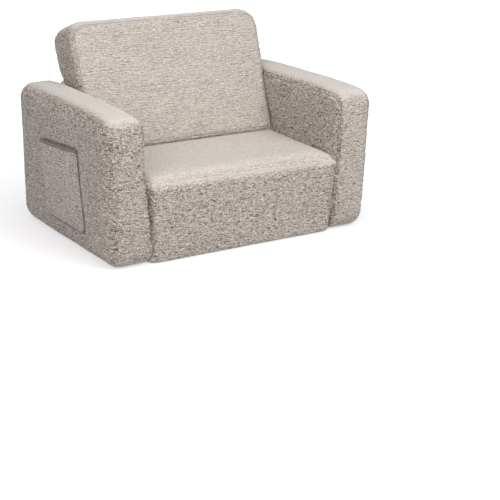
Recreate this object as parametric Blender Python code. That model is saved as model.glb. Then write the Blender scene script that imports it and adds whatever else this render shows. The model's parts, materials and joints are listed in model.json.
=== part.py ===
"""A small child's flip open sofa: foam blocks in zipped covers.

Two arms, a low back wall and a seat base make the frame. The seat panel lies on the base and is
sewn to it along the front edge. The backrest is tied to the seat panel by a cloth sleeve and leans
on the back wall. The seat panel turns over forwards, and the backrest unfolds behind it, so that
both lie on the floor in line with the base.

X runs across the sofa, Y from front to back and Z up. The origin is on the floor, under the middle.
"""

import math

import bmesh
import bpy
from mathutils import Matrix, Vector

# The frame's driving sizes, in metres. SEAT_WIDTH is between the arms at the floor. The arms lean
# outwards from there, more at the front than at the rear, where the back wall holds them.
SEAT_WIDTH = 0.504
ARM_LEAN_FRONT = 0.016
ARM_LEAN_REAR = 0.008
ARM_DEPTH = 0.485
ARM_HEIGHT = 0.340
ARM_THICKNESS = 0.095
ARM_EDGE_RADIUS = 0.027
ARM_SIDE_CROWN = 0.005
ARM_FRONT_CROWN = 0.003
ARM_TOP_CROWN = 0.006
WALL_HEIGHT = 0.343
WALL_FOOT_THICKNESS = 0.107
WALL_EDGE_RADIUS = 0.020
WALL_LEAN_GAP = 0.0010
BASE_HEIGHT = 0.102
BASE_UPPER_RADIUS = 0.010
BASE_LOWER_RADIUS = 0.018

# The seat panel and the backrest. Their thickness follows from the base, because both lie on the
# floor level with it when the sofa is open.
SEAT_SETBACK = 0.008
SEAT_REAR_FROM_BACK = 0.207
SEAT_SIDE_GAP = 0.002
SEAT_TOP_CROWN = 0.005
SEAT_FRONT_CROWN = 0.004
SEAT_FRONT_RADIUS = 0.028
SEAT_REAR_RADIUS = 0.012
SEAT_LOWER_RADIUS = 0.010
SEAT_SIDE_DRAW = 0.002
BACKREST_LENGTH = 0.318
BACKREST_TILT = math.radians(20)
BACKREST_FRONT_CROWN = 0.006
BACKREST_REAR_CROWN = 0.003
BACKREST_TOP_CROWN = 0.003
BACKREST_EDGE_RADIUS = 0.024
BACKREST_REAR_EDGE_RADIUS = 0.015
BACKREST_FOOT_RADIUS = 0.012
BACKREST_CORNER_RADIUS = 0.050
BACKREST_SIDE_DRAW = 0.002
BACKREST_TUCK = 0.010
FOLD_GAP = 0.054
FLOOR_CLEARANCE = 0.001
AXIS_CLEARANCE = 0.0005

# Covers and foam.
COVER_THICKNESS = 0.005
FOAM_GAP = 0.0004
FIT_GAP = 0.0003
PANEL_GAP = 0.0006

# One zip pattern for every cover. Depths are counted inwards from the cover's outer face.
TAPE_WIDTH = 0.024
TAPE_DEPTH = 0.0036
TAPE_THICKNESS = 0.0010
CHAIN_WIDTH = 0.0050
CHAIN_DEPTH = 0.0018
SLIDER_DEPTH = 0.0006
SLIDER_PLATE = 0.0008
SLIDER_WALL = 0.0012
SLIDER_LENGTH = 0.012
ZIP_STOP = 0.006
ARM_ZIP_MARGIN = 0.0725
CROSS_ZIP_MARGIN = 0.057
BASE_ZIP_FROM_REAR = 0.060

# The pocket on the outer side of the left arm.
POCKET_WIDTH = 0.200
POCKET_HEIGHT = 0.180
POCKET_BOTTOM = 0.055
POCKET_CORNER_RADIUS = 0.020
POCKET_CLOTH = 0.0030
POCKET_MOUTH_OPENING = 0.011
POCKET_PUFF = 0.008
POCKET_MOUTH_SAG = 0.003
BINDING_WIDTH = 0.007
BINDING_THICKNESS = 0.0046

# Cloth that joins the panels.
HINGE_CLOTH_HALF_HEIGHT = 0.011
HINGE_CLOTH_THICKNESS = 0.0012
HINGE_CLOTH_INSET = 0.020
SLEEVE_CLOTH = 0.0020
SLEEVE_INSET = 0.015
SLEEVE_CORNER = 0.008
SLEEVE_SAG = 0.006

# How finely curved faces are divided.
LEAST_STEP = 0.004
FINE_STEPS = 2
PLAIN_STEPS = 1
CORNER_TURN = 4
SLEEVE_TURN = 3
SLEEVE_RINGS = 4
CLOTH_STEPS = 12
POCKET_STEPS = 10
SHARP_ANGLE = math.radians(50)

CREAM = (0.62, 0.54, 0.45, 1.0)
PALE_CREAM = (0.66, 0.60, 0.53, 1.0)
FOAM_YELLOW = (0.80, 0.72, 0.46, 1.0)
GREY_TAPE = (0.42, 0.40, 0.37, 1.0)
ZIP_GREY = (0.33, 0.32, 0.30, 1.0)
NICKEL = (0.60, 0.59, 0.56, 1.0)


def clear_scene():
    for thing in list(bpy.data.objects):
        bpy.data.objects.remove(thing, do_unlink=True)


def add_object(name, bm, parent=None):
    """A new object from a bmesh, with its faces pointing out."""
    bmesh.ops.recalc_face_normals(bm, faces=bm.faces)
    mesh = bpy.data.meshes.new(name)
    bm.to_mesh(mesh)
    bm.free()
    made = bpy.data.objects.new(name, mesh)
    bpy.context.scene.collection.objects.link(made)
    made.parent = parent
    return made


def add_empty(name, place=(0, 0, 0), turn=0.0, parent=None):
    made = bpy.data.objects.new(name, None)
    made.location = place
    made.rotation_euler = (turn, 0, 0)
    made.parent = parent
    bpy.context.scene.collection.objects.link(made)
    return made


def paint(thing, colour, roughness, metallic=0.0):
    made = bpy.data.materials.new(thing.name)
    made.use_nodes = True
    shader = made.node_tree.nodes["Principled BSDF"]
    shader.inputs["Base Color"].default_value = colour
    shader.inputs["Roughness"].default_value = roughness
    shader.inputs["Metallic"].default_value = metallic
    made.diffuse_color = colour
    thing.data.materials.append(made)


def cut(thing, cutter):
    cutter.hide_render = True
    cutter.display_type = "WIRE"
    made = thing.modifiers.new(cutter.name, "BOOLEAN")
    made.object = cutter
    made.operation = "DIFFERENCE"
    made.solver = "EXACT"


class Block:
    """The form of one cushion: a block with round edges, crowned faces and drawn-in sides.

    It lies flat, with its thickness along Z. radii are those of the edges at (-Y, -Z), (+Y, -Z),
    (-Y, +Z) and (+Y, +Z), and corners those of its outline's corners at -Y and +Y, seen along Z,
    which are no smaller. crowns are one for each face: -X, +X, -Y, +Y, -Z, +Z. draw is how far its
    X sides are drawn in between their ends. top_loss is how much thinner it is at its +Y end, off
    its +Z face.
    """

    def __init__(self, size, radii, crowns, steps, draw=0.0, corners=None, top_loss=0.0):
        self.half = Vector(size) / 2
        self.radii = radii
        self.crowns = crowns
        self.steps = steps
        self.draw = draw
        self.corners = corners or (max(radii), max(radii))
        self.top_loss = top_loss

    def inside(self, depth, steps):
        """The same form, smaller all round by depth."""
        size = [2 * (h - depth) for h in self.half]
        radii = [max(r - depth, depth) for r in self.radii]
        corners = [max(c - depth, depth) for c in self.corners]
        return Block(size, radii, self.crowns, steps, self.draw, corners, self.top_loss)

    def shares(self, point):
        return [max(-1.0, min(1.0, p / h)) for p, h in zip(point, self.half)]

    def radius_at(self, point):
        _, v, w = self.shares(point)
        rear, top = (1 + v) / 2, (1 + w) / 2
        low = self.radii[0] * (1 - rear) + self.radii[1] * rear
        high = self.radii[2] * (1 - rear) + self.radii[3] * rear
        return low * (1 - top) + high * top

    def rounded(self, point):
        """Moves a point of the sharp block onto the block with round corners and edges."""
        corner = self.corners[point.y > 0]
        radius = self.radius_at(point)
        core = [max(corner - h, min(h - corner, p)) for p, h in zip(point.xy, self.half.xy)]
        out = point.xy - Vector(core)
        if out.length == 0:
            return point
        reach = max(abs(out.x), abs(out.y))
        beside = reach - (corner - radius)
        above = abs(point.z) - (self.half.z - radius)
        z = point.z
        if beside > 0 and above > 0:
            pull = radius / math.hypot(beside, above)
            reach = corner - radius + beside * pull
            z = math.copysign(self.half.z - radius + above * pull, point.z)
        plan = Vector(core) + out.normalized() * reach
        return Vector((plan.x, plan.y, z))

    def crown_at(self, point):
        """How far the crowned faces carry this point outwards."""
        share = self.shares(point)
        move = Vector((0, 0, 0))
        for axis in range(3):
            crown = self.crowns[2 * axis + (share[axis] > 0)]
            fall = math.prod(1 - share[k] ** 2 for k in range(3) if k != axis)
            move[axis] = share[axis] * crown * fall
        return move

    def draw_at(self, point):
        """How far the sides are drawn in between their ends."""
        u, v, _ = self.shares(point)
        return Vector((-u * self.draw * (1 - v * v), 0, 0))

    def lean(self, point):
        if not self.top_loss:
            return point
        rise = (1 + self.shares(point)[1]) / 2
        thickness = 2 * self.half.z
        kept = 1 - self.top_loss * rise / thickness
        return Vector((point.x, point.y, (point.z + self.half.z) * kept - self.half.z))

    def place(self, point):
        point = self.rounded(Vector(point))
        return self.lean(point + self.crown_at(point) + self.draw_at(point))

    def cut_lines(self, axis, turn):
        """Where the block is cut across one axis: close at its round edges, even between them."""
        half = self.half[axis]
        edges = [(max(self.radii), turn)]
        if max(self.corners) > max(self.radii) and axis < 2:
            edges.append((max(self.corners), CORNER_TURN))
        widest = max(radius for radius, _ in edges)
        found = []
        for radius, parts in edges:
            for i in range(parts):
                found.append(half - radius + radius * math.tan(math.pi / 4 * i / parts))
        for i in range(self.steps[axis]):
            found.append((half - widest) * (2 * i / self.steps[axis] - 1))
        lines = []
        for line in sorted(found + [-line for line in found]):
            if not lines or line - lines[-1] > LEAST_STEP:
                lines.append(line)
        return lines

    def mesh(self, turn):
        bm = bmesh.new()
        bmesh.ops.create_cube(bm, size=1, matrix=Matrix.Diagonal((*(2 * self.half), 1)))
        for axis in range(3):
            way = Vector([float(k == axis) for k in range(3)])
            for line in self.cut_lines(axis, turn):
                everything = bm.verts[:] + bm.edges[:] + bm.faces[:]
                bmesh.ops.bisect_plane(bm, geom=everything, plane_co=way * line, plane_no=way)
        bmesh.ops.triangulate(bm, faces=bm.faces[:], quad_method="FIXED")
        for vert in bm.verts:
            vert.co = self.place(vert.co)
        return bm


def shrunk(bm, gap):
    """The same mesh, with every face moved inwards by gap."""
    bmesh.ops.recalc_face_normals(bm, faces=bm.faces)
    moves = [vert.normal * vert.calc_shell_factor() * gap for vert in bm.verts]
    for vert, move in zip(bm.verts, moves):
        vert.co -= move
    return bm


def box(name, low, high, parent):
    low, high = Vector(low), Vector(high)
    bm = bmesh.new()
    shape = Matrix.Translation((low + high) / 2) @ Matrix.Diagonal((*(high - low), 1))
    bmesh.ops.create_cube(bm, size=1, matrix=shape)
    return add_object(name, bm, parent)


def prism(name, outline, length, parent):
    """An outline of (y, z) points, drawn out along X about the middle."""
    bm = bmesh.new()
    first = [bm.verts.new((-length / 2, y, z)) for y, z in outline]
    face = bm.faces.new(first)
    grown = bmesh.ops.extrude_face_region(bm, geom=[face])
    moved = [v for v in grown["geom"] if isinstance(v, bmesh.types.BMVert)]
    bmesh.ops.translate(bm, verts=moved, vec=(length, 0, 0))
    return add_object(name, bm, parent)


def add_zip(name, cover, length, place, turn):
    """A closed zip in a slot through one wall of a cover. place is on the cover's outer face, and
    turn takes the zip's own inward +Z to the cover's."""
    seat = add_empty(name + "_seat", place, turn, cover.parent)
    seat.matrix_basis = cover.matrix_basis @ seat.matrix_basis
    half = TAPE_WIDTH / 2
    slot_low = (-length / 2, -half, -COVER_THICKNESS)
    slot_high = (length / 2, half, 2 * COVER_THICKNESS)
    cut(cover, box(name + "_slot", slot_low, slot_high, seat))
    tape_end = half - FIT_GAP
    tape_top = TAPE_DEPTH + TAPE_THICKNESS
    chain = CHAIN_WIDTH / 2
    section = [
        (-tape_end, TAPE_DEPTH),
        (-chain, TAPE_DEPTH),
        (-chain, CHAIN_DEPTH),
        (chain, CHAIN_DEPTH),
        (chain, TAPE_DEPTH),
        (tape_end, TAPE_DEPTH),
        (tape_end, tape_top),
        (-tape_end, tape_top),
    ]
    made = prism(name, section, length - 2 * FIT_GAP, seat)
    paint(made, ZIP_GREY, 0.7)
    inner = chain + FIT_GAP
    outer = inner + SLIDER_WALL
    rim = TAPE_DEPTH - FIT_GAP
    floor = SLIDER_DEPTH + SLIDER_PLATE
    channel = [
        (-outer, SLIDER_DEPTH),
        (outer, SLIDER_DEPTH),
        (outer, rim),
        (inner, rim),
        (inner, floor),
        (-inner, floor),
        (-inner, rim),
        (-outer, rim),
    ]
    slider = prism(name + "_slider", channel, SLIDER_LENGTH, seat)
    slider.location.x = ZIP_STOP + SLIDER_LENGTH / 2 - length / 2
    paint(slider, NICKEL, 0.35, 0.9)
    return made, slider


def add_cushion(name, block, parent, place, turn, foam_steps):
    """A cover with room inside, and the foam that fills it."""
    cover = add_object(name + "_cover", block.mesh(FINE_STEPS), parent)
    cover.location = place
    cover.rotation_euler = turn
    room = block.inside(COVER_THICKNESS, foam_steps)
    cutter = add_object(name + "_room", room.mesh(PLAIN_STEPS), parent)
    foam = add_object(name + "_foam", shrunk(room.mesh(PLAIN_STEPS), FOAM_GAP), parent)
    for thing in (cutter, foam):
        thing.location = place
        thing.rotation_euler = turn
    cut(cover, cutter)
    paint(cover, CREAM, 0.95)
    paint(foam, FOAM_YELLOW, 0.9)
    for thing in (cover, foam):
        thing.data.shade_smooth()
        thing.data.set_sharp_from_angle(angle=SHARP_ANGLE)
    return cover


def cloth(name, outer, inner, parent):
    """A sheet with a thickness: two grids of points of one size, joined round their rims."""
    bm = bmesh.new()
    rows, columns = len(outer), len(outer[0])
    sides = [[[bm.verts.new(p) for p in row] for row in grid] for grid in (outer, inner)]
    for side in sides:
        for i in range(rows - 1):
            for j in range(columns - 1):
                corners = (side[i][j], side[i + 1][j], side[i + 1][j + 1], side[i][j + 1])
                bm.faces.new(corners)
    rim = [(0, j) for j in range(columns)]
    rim += [(i, columns - 1) for i in range(1, rows)]
    rim += [(rows - 1, j) for j in range(columns - 2, -1, -1)]
    rim += [(i, 0) for i in range(rows - 2, 0, -1)]
    for k, (i, j) in enumerate(rim):
        m, n = rim[(k + 1) % len(rim)]
        bm.faces.new((sides[0][i][j], sides[1][i][j], sides[1][m][n], sides[0][m][n]))
    made = add_object(name, bm, parent)
    paint(made, CREAM, 0.95)
    made.data.shade_smooth()
    made.data.set_sharp_from_angle(angle=SHARP_ANGLE)
    return made


def evenly(low, high, steps):
    return [low + (high - low) * i / steps for i in range(steps + 1)]


def rounded_outline(width, height, radius):
    """Points round a rectangle with round corners, about its middle."""
    points = []
    for k in range(4):
        middle = math.pi / 4 + k * math.pi / 2
        x = math.copysign(width / 2 - radius, math.cos(middle))
        y = math.copysign(height / 2 - radius, math.sin(middle))
        for i in range(SLEEVE_TURN + 1):
            angle = k * math.pi / 2 + math.pi / 2 * i / SLEEVE_TURN
            points.append((x + radius * math.cos(angle), y + radius * math.sin(angle)))
    return points


def turning_point(before, after, angle):
    """The (y, z) point about which a turn by angle takes before to after."""
    middle = (before + after) / 2
    across = (after - before) / 2
    return middle + Vector((-across.y, across.x)) / math.tan(angle / 2)


clear_scene()

front = -ARM_DEPTH / 2
rear = ARM_DEPTH / 2
sofa = add_empty("sofa")

# Arms. A block's own X, Y and Z stand along the sofa's Y, Z and X here.
arm_turn = (math.pi / 2, 0, math.pi / 2)
arm_size = (ARM_DEPTH, ARM_HEIGHT, ARM_THICKNESS)
arm_radii = (ARM_EDGE_RADIUS,) * 4
arm_steps = (7, 5, 2)
arm_x = SEAT_WIDTH / 2 + ARM_THICKNESS / 2
arm_core_steps = (4, 3, 1)
arm_zip_length = ARM_DEPTH - 2 * ARM_ZIP_MARGIN
for side, sign in (("left", -1), ("right", 1)):
    outward = (ARM_SIDE_CROWN, 0) if sign < 0 else (0, ARM_SIDE_CROWN)
    crowns = (ARM_FRONT_CROWN, 0, 0, ARM_TOP_CROWN, *outward)
    block = Block(arm_size, arm_radii, crowns, arm_steps)
    place = (sign * arm_x, 0, ARM_HEIGHT / 2)
    arm = add_cushion("arm_" + side, block, sofa, place, arm_turn, arm_core_steps)
    zip_place = (0, -ARM_HEIGHT / 2, 0)
    add_zip("arm_" + side + "_zip", arm, arm_zip_length, zip_place, -math.pi / 2)

# Seat base, between the arms and in front of the back wall.
wall_width = SEAT_WIDTH - 2 * FIT_GAP
cross_zip_length = SEAT_WIDTH - 2 * CROSS_ZIP_MARGIN
base_front = front + SEAT_SETBACK
base_rear = rear - WALL_FOOT_THICKNESS - FIT_GAP
base_length = base_rear - base_front
base_block = Block(
    (wall_width, base_length, BASE_HEIGHT),
    (BASE_LOWER_RADIUS, BASE_LOWER_RADIUS, BASE_UPPER_RADIUS, BASE_UPPER_RADIUS),
    (0, 0, SEAT_FRONT_CROWN, 0, 0, 0),
    (8, 5, 3),
)
base_place = (0, (base_front + base_rear) / 2, BASE_HEIGHT / 2)
base = add_cushion("seat_base", base_block, sofa, base_place, (0, 0, 0), (4, 3, 1))
base_zip_y = base_length / 2 - BASE_ZIP_FROM_REAR
add_zip("seat_base_zip", base, cross_zip_length, (0, base_zip_y, -BASE_HEIGHT / 2), 0)

# Seat panel. It turns about the sewn front edge, level with the top of the base.
axis_y = base_front - SEAT_FRONT_CROWN - AXIS_CLEARANCE
axis_z = BASE_HEIGHT + PANEL_GAP / 2
seat_low = BASE_HEIGHT + PANEL_GAP
lying_top = 2 * axis_z - FLOOR_CLEARANCE
seat_thickness = lying_top - SEAT_TOP_CROWN - seat_low
seat_rear = rear - SEAT_REAR_FROM_BACK
seat_length = seat_rear - base_front
seat_panel_width = SEAT_WIDTH - 2 * SEAT_SIDE_GAP
seat_hinge = add_empty("seat_flip_axis", (0, axis_y, axis_z), 0, sofa)
seat_block = Block(
    (seat_panel_width, seat_length, seat_thickness),
    (SEAT_LOWER_RADIUS, SEAT_LOWER_RADIUS, SEAT_FRONT_RADIUS, SEAT_REAR_RADIUS),
    (0, 0, SEAT_FRONT_CROWN, 0, 0, SEAT_TOP_CROWN),
    (8, 5, 2),
    draw=SEAT_SIDE_DRAW,
)
seat_middle = Vector((0, base_front + seat_length / 2, seat_low + seat_thickness / 2))
seat_place = seat_middle - seat_hinge.location
seat = add_cushion("seat_panel", seat_block, seat_hinge, seat_place, (0, 0, 0), (4, 3, 1))
add_zip("seat_panel_zip", seat, cross_zip_length, (0, seat_length / 2, 0), math.pi / 2)

# Backrest. Unfolded it would lie behind the seat panel, past the fold gap, with its lower face
# level with the panel's. Folded up it stands with its front foot tucked over the panel's rear edge.
unfold_angle = math.pi / 2 - BACKREST_TILT
backrest_thickness = lying_top - BACKREST_FRONT_CROWN - seat_low
foot_z = seat_low + backrest_thickness
foot_lying = Vector((seat_rear + FOLD_GAP, foot_z))
foot_folded = Vector((seat_rear - BACKREST_TUCK, foot_z))
fold_point = turning_point(foot_lying, foot_folded, unfold_angle)
fold_place = Vector((0, fold_point.x, fold_point.y)) - seat_hinge.location
fold = add_empty("backrest_fold_axis", fold_place, unfold_angle, seat_hinge)
backrest_block = Block(
    (seat_panel_width, BACKREST_LENGTH, backrest_thickness),
    (BACKREST_FOOT_RADIUS, BACKREST_REAR_EDGE_RADIUS, BACKREST_FOOT_RADIUS, BACKREST_EDGE_RADIUS),
    (0, 0, 0, BACKREST_TOP_CROWN, BACKREST_REAR_CROWN, BACKREST_FRONT_CROWN),
    (8, 5, 2),
    draw=BACKREST_SIDE_DRAW,
    corners=(BACKREST_EDGE_RADIUS, BACKREST_CORNER_RADIUS),
)
backrest_middle = foot_lying + Vector((BACKREST_LENGTH / 2, -backrest_thickness / 2)) - fold_point
backrest_place = (0, backrest_middle.x, backrest_middle.y)
backrest = add_cushion("backrest", backrest_block, fold, backrest_place, (0, 0, 0), (4, 3, 1))
add_zip("backrest_zip", backrest, cross_zip_length, (0, -BACKREST_LENGTH / 2, 0), -math.pi / 2)

# Back wall. Its upright face is the rear one, and its front face leans back, so that the backrest
# lies against its top edge.
foot_in_sofa = Vector((foot_folded.x, foot_z))
lean_z = WALL_HEIGHT - WALL_EDGE_RADIUS
behind = (backrest_thickness + BACKREST_REAR_CROWN) / math.cos(BACKREST_TILT)
backrest_rear_y = foot_in_sofa.x + behind + (lean_z - foot_in_sofa.y) * math.tan(BACKREST_TILT)
stand_off = (WALL_EDGE_RADIUS + WALL_LEAN_GAP) / math.cos(BACKREST_TILT) - WALL_EDGE_RADIUS
wall_thickness_there = rear - backrest_rear_y - stand_off
wall_loss = (WALL_FOOT_THICKNESS - wall_thickness_there) * WALL_HEIGHT / lean_z
upright = (math.pi / 2, 0, 0)
wall_block = Block(
    (wall_width, WALL_HEIGHT, WALL_FOOT_THICKNESS),
    (WALL_EDGE_RADIUS,) * 4,
    (0,) * 6,
    (6, 4, 2),
    top_loss=wall_loss,
)
wall_place = (0, rear - WALL_FOOT_THICKNESS / 2, WALL_HEIGHT / 2)
wall = add_cushion("back_wall", wall_block, sofa, wall_place, upright, (4, 3, 1))
add_zip("back_wall_zip", wall, cross_zip_length, (0, -WALL_HEIGHT / 2, 0), -math.pi / 2)

# Cloth over the crease between the base and the seat panel, in front of both.
crease_fall = 1 - (1 - HINGE_CLOTH_HALF_HEIGHT / (BASE_HEIGHT / 2)) ** 2
cloth_half_width = wall_width / 2 - HINGE_CLOTH_INSET


def hinge_cloth_grid(depth):
    grid = []
    for x in evenly(-cloth_half_width, cloth_half_width, CLOTH_STEPS):
        bulge = SEAT_FRONT_CROWN * crease_fall * (1 - (x / (wall_width / 2)) ** 2)
        y = base_front - bulge - depth
        heights = evenly(-HINGE_CLOTH_HALF_HEIGHT, HINGE_CLOTH_HALF_HEIGHT, 2)
        grid.append([(x, y, axis_z + z) for z in heights])
    return grid


cloth(
    "seat_hinge_cloth",
    hinge_cloth_grid(FIT_GAP + HINGE_CLOTH_THICKNESS),
    hinge_cloth_grid(FIT_GAP),
    sofa,
)

# The sleeve between the rear end of the seat panel and the foot of the backrest.
sleeve_width = seat_panel_width - 2 * SLEEVE_INSET
seat_end_middle = Vector((0, seat_rear + FIT_GAP, seat_low + seat_thickness / 2)) - seat_hinge.location
seat_end_height = seat_thickness - 2 * SLEEVE_INSET
foot_height = backrest_thickness - 2 * SLEEVE_INSET
foot_middle = Vector(backrest_place) - Vector((0, BACKREST_LENGTH / 2 + FIT_GAP, 0))
into_seat = Matrix.Translation(fold.location) @ Matrix.Rotation(unfold_angle, 4, "X")


def sleeve_rings(inset):
    """Rings of points from the seat panel's end to the backrest's foot."""
    corner = SLEEVE_CORNER - inset
    start = rounded_outline(sleeve_width - 2 * inset, seat_end_height - 2 * inset, corner)
    end = rounded_outline(sleeve_width - 2 * inset, foot_height - 2 * inset, corner)
    rings = []
    for share in evenly(0, 1, SLEEVE_RINGS):
        ring = []
        for (x, z), (u, w) in zip(start, end):
            one = seat_end_middle + Vector((x, 0, z))
            other = into_seat @ (foot_middle + Vector((u, 0, w)))
            down = SLEEVE_SAG * math.sin(math.pi * share) * (z < 0)
            ring.append(one.lerp(other, share) + Vector((0, 0, -down)))
        rings.append(ring)
    return rings


def add_sleeve():
    bm = bmesh.new()
    layers = sleeve_rings(0) + sleeve_rings(SLEEVE_CLOTH)[::-1]
    rings = [[bm.verts.new(p) for p in layer] for layer in layers]
    for k, ring in enumerate(rings):
        after = rings[(k + 1) % len(rings)]
        for i in range(len(ring)):
            j = (i + 1) % len(ring)
            bm.faces.new((ring[i], ring[j], after[j], after[i]))
    made = add_object("fold_sleeve", bm, seat_hinge)
    paint(made, PALE_CREAM, 0.95)
    made.data.shade_smooth()
    made.data.set_sharp_from_angle(angle=SHARP_ANGLE)


add_sleeve()

# The pocket. Its panel follows the crowned side of the arm, bulges and stands open at the mouth.
left_face = -arm_x - ARM_THICKNESS / 2


def arm_face_at(y, z):
    """X of the left arm's outer face."""
    crown = ARM_SIDE_CROWN
    along = y / (ARM_DEPTH / 2)
    up = (z - ARM_HEIGHT / 2) / (ARM_HEIGHT / 2)
    return left_face - crown * (1 - along**2) * (1 - up**2)


def pocket_grid(depth, low, high, steps):
    """Points over part of the pocket's height, depth out from the space behind the cloth."""
    grid = []
    for v in evenly(low, high, steps):
        row = []
        for u in evenly(-1, 1, POCKET_STEPS):
            past = 1 - (1 - abs(u)) * POCKET_WIDTH / 2 / POCKET_CORNER_RADIUS
            lift = POCKET_CORNER_RADIUS * (1 - math.sqrt(1 - max(0.0, past) ** 2))
            y = u * POCKET_WIDTH / 2
            sag = POCKET_MOUTH_SAG * (1 - u * u) * v
            z = POCKET_BOTTOM + lift * (1 - v) + POCKET_HEIGHT * v - sag
            open_out = POCKET_MOUTH_OPENING * v * v * (1 - u**4)
            puff = POCKET_PUFF * math.sin(math.pi * v) * (1 - u * u)
            x = arm_face_at(y, z) - FIT_GAP - open_out - puff - depth
            row.append((x, y, z))
        grid.append(row)
    return grid


binding_share = BINDING_WIDTH / POCKET_HEIGHT
gap_share = FIT_GAP / POCKET_HEIGHT
panel_top = 1 - binding_share - gap_share
cloth(
    "pocket_panel",
    pocket_grid(POCKET_CLOTH, 0, panel_top, POCKET_STEPS),
    pocket_grid(0, 0, panel_top, POCKET_STEPS),
    sofa,
)
binding = cloth(
    "pocket_binding",
    pocket_grid(BINDING_THICKNESS, 1 - binding_share, 1, 2),
    pocket_grid(0, 1 - binding_share, 1, 2),
    sofa,
)
binding.data.materials.clear()
paint(binding, GREY_TAPE, 0.8)

# Last, everything takes the lean of the arms: what lies between them widens upwards.


def leaned(point):
    to_front = (rear - point.y) / ARM_DEPTH
    lean = ARM_LEAN_REAR + (ARM_LEAN_FRONT - ARM_LEAN_REAR) * to_front
    across = max(-1.0, min(1.0, point.x / (SEAT_WIDTH / 2)))
    return point + Vector((across * lean * point.z / ARM_HEIGHT, 0, 0))


bpy.context.view_layer.update()
for thing in bpy.context.scene.objects:
    if thing.type == "MESH":
        to_sofa = thing.matrix_world
        from_sofa = to_sofa.inverted()
        for vert in thing.data.vertices:
            vert.co = from_sofa @ leaned(to_sofa @ vert.co)
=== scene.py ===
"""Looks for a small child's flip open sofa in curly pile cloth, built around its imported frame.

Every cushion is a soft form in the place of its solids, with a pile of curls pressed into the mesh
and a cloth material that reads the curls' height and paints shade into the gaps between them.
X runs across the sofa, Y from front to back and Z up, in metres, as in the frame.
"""

import json
import math
from itertools import product
from types import SimpleNamespace

import bpy
import numpy as np
from mathutils import Matrix, Vector


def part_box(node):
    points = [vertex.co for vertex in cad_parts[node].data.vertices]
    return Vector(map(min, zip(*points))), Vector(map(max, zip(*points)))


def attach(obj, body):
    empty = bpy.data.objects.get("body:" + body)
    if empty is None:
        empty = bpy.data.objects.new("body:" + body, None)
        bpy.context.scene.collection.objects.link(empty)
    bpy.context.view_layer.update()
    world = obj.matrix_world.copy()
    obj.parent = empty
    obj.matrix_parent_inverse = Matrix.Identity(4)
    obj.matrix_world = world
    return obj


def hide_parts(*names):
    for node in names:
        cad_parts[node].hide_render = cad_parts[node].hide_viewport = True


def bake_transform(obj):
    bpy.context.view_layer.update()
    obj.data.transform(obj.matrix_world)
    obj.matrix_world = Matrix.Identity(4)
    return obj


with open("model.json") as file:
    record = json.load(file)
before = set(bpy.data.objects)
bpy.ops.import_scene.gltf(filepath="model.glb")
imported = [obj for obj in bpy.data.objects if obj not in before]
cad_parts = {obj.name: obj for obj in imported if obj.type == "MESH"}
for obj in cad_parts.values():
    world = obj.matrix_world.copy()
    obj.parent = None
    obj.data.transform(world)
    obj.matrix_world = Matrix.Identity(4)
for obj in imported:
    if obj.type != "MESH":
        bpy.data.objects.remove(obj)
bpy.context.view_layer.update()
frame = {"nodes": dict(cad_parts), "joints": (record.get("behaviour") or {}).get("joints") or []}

# The frame's driving sizes. SEAT_WIDTH is between the arms at the floor.
SEAT_WIDTH = 0.504
ARM_LEAN_FRONT = 0.016
ARM_LEAN_REAR = 0.008
ARM_DEPTH = 0.485
ARM_HEIGHT = 0.340
ARM_THICKNESS = 0.095
WALL_HEIGHT = 0.343
WALL_FOOT_THICKNESS = 0.107
BASE_HEIGHT = 0.102
SEAT_SETBACK = 0.008
SEAT_REAR_FROM_BACK = 0.207
SEAT_SIDE_GAP = 0.002
BACKREST_LENGTH = 0.318
BACKREST_TILT = math.radians(20)

FRONT = -ARM_DEPTH / 2
REAR = ARM_DEPTH / 2
SEAT_FRONT = FRONT + SEAT_SETBACK
PANEL_REAR = REAR - SEAT_REAR_FROM_BACK

# The cloth. GRID is the mesh's spacing, the pale colour is the yarn's own and the dark one is
# painted shade in the gaps between the curls.
GRID = 0.0023
CREAM_TIP = (0.688, 0.640, 0.588, 1)
CREAM_SHADE = (0.160, 0.118, 0.084, 1)

# The pocket on the left arm's outer side.
POCKET_WIDTH = 0.200
POCKET_HEIGHT = 0.187
POCKET_BOTTOM = 0.055
POCKET_CORNER_RADIUS = 0.020
POCKET_MOUTH_OPENING = 0.003
POCKET_PUFF = 0.008
POCKET_SKEW = 0.020
POCKET_TILT = 0.009
BINDING_WIDTH = 0.007
POCKET_TOP = 1 - BINDING_WIDTH / POCKET_HEIGHT
POCKET_EDGE_THICKNESS = 0.0016
POCKET_MORE_THICKNESS = 0.0032
POCKET_BEHIND = -0.002
POCKET_FOOT_SHARE = 0.45
BINDING_THICKNESS = 0.0046
BINDING_CROWN = 0.0012
BINDING_ROWS = 7

# The band over the crease between base and panel. PROUD is how far it stands out, SUNK how far
# its rim goes in, and FOLD a height over the crease that is not used.
BAND_REACH = 0.045
BAND_PROUD = 0.0011
BAND_SUNK = 0.0022
BAND_THICKNESS = 0.0025
BAND_FOLD = 0.0004
BAND_END_GAP = 0.004
BAND_END_START = 0.94

# The sleeve between panel and backrest.
SLEEVE_OVERLAP = 0.014
SLEEVE_THICKNESS = 0.002
SLEEVE_SUNK = 0.0016
SLEEVE_INSET = 0.0002
SLEEVE_ROOM = 0.004
SLEEVE_SLACK = 0.010
SLEEVE_CORNER_RADIUS = 0.012
SLEEVE_CORNER_STEPS = 5
SLEEVE_SIDE_PILE = 0.008
SLEEVE_STATIONS = 36
FOLDING_ROUNDS = 60

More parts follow.
